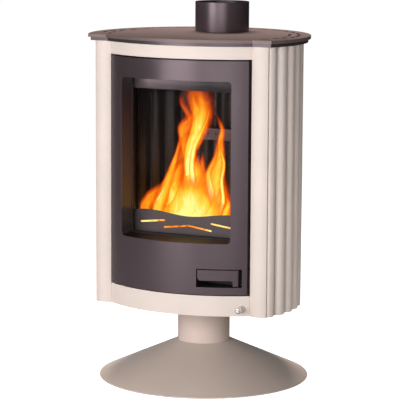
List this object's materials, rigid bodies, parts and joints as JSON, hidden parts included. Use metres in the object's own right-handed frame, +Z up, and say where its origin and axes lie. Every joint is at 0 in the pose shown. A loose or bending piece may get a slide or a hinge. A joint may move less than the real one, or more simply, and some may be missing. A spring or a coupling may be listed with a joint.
{
  "type": "wood burning stove",
  "caption": "Wood burning stove with a curved glazed door, fluted pale casing, dark two-layer top with flue collar, round column and cone foot.",
  "frame": {"origin": "on the floor, on the axis of the pedestal column", "axes": "+Z up, the door faces -Y, +X towards the door's latch side"},
  "size_m": [0.607, 0.5826, 1.0366],
  "materials": {
    "pale_paint": "satin, pale cream metallic",
    "foot_paint": "matt, taupe",
    "dark_paint": "satin, brown grey heat-proof paint",
    "boiler_plate": "matt black",
    "iron": "rough",
    "ballast": "mill",
    "fire_brick": "sooted",
    "bright_steel": "zinc plated",
    "rope": "knitted glass rope",
    "glass": "clear fireproof glass",
    "chrome": "polished"
  },
  "bodies": {
    "stove": {"base_plate": "ballast", "foot_cone": "foot_paint", "pedestal_column": "pale_paint", "column_foot_bolts": "bright_steel", "column_head_ring": "bright_steel", "column_head_bolts": "bright_steel", "floor_plate": "boiler_plate", "firebox_spacers": "bright_steel", "air_box": "boiler_plate", "firebox_bottom": "boiler_plate", "firebox_shell": "boiler_plate", "firebox_top": "boiler_plate", "face_frame": "boiler_plate", "ash_housing": "boiler_plate", "ash_pan": "bright_steel", "hearth_plate": "iron", "grate": "iron", "liner_left": "fire_brick", "liner_back": "fire_brick", "liner_right": "fire_brick", "secondary_air_bar": "boiler_plate", "baffle_plate": "fire_brick", "log_guard": "dark_paint", "airwash_bar": "dark_paint", "flue_collar": "dark_paint", "top_moulding": "dark_paint", "top_plate": "dark_paint", "left_pillar": "pale_paint", "right_pillar": "pale_paint", "top_rail": "pale_paint", "bottom_rail": "pale_paint", "side_panel_left": "pale_paint", "side_panel_right": "pale_paint", "heat_shield": "bright_steel", "rear_cover": "pale_paint", "rear_cover_screws": "bright_steel", "hinge_bracket_lower": "bright_steel", "hinge_bracket_upper": "bright_steel", "hinge_pins": "bright_steel", "strike_plate": "bright_steel", "knob_collar": "chrome"},
    "door": {"door_skin": "dark_paint", "window_jambs": "dark_paint", "door_frame": "dark_paint", "door_seal": "rope", "glass_gasket": "rope", "door_glass": "glass", "glass_clips": "bright_steel", "clip_screws": "bright_steel", "handle_pocket": "dark_paint", "latch_spring": "bright_steel"},
    "latch": {"handle_paddle": "dark_paint", "latch_pin": "bright_steel", "latch_tongue": "bright_steel"},
    "air_control": {"air_knob": "chrome", "air_rod": "bright_steel", "damper_plate": "bright_steel"}
  },
  "joints": [
    {"name": "door_hinge", "type": "hinge", "parent": "stove", "child": "door", "pos_m": [-0.2, -0.155, 0.585], "axis": [0, 0, -1], "range_deg": [0, 95]},
    {"name": "latch_pivot", "type": "hinge", "parent": "door", "child": "latch", "pos_m": [0.177, -0.16, 0.322], "axis": [0, 0, 1], "range_deg": [0, 20], "stiffness_Nm_per_rad": 0.6},
    {"name": "air_slide", "type": "slide", "parent": "stove", "child": "air_control", "axis": [0, -1, 0], "range_m": [0, 0.03]}
  ]
}
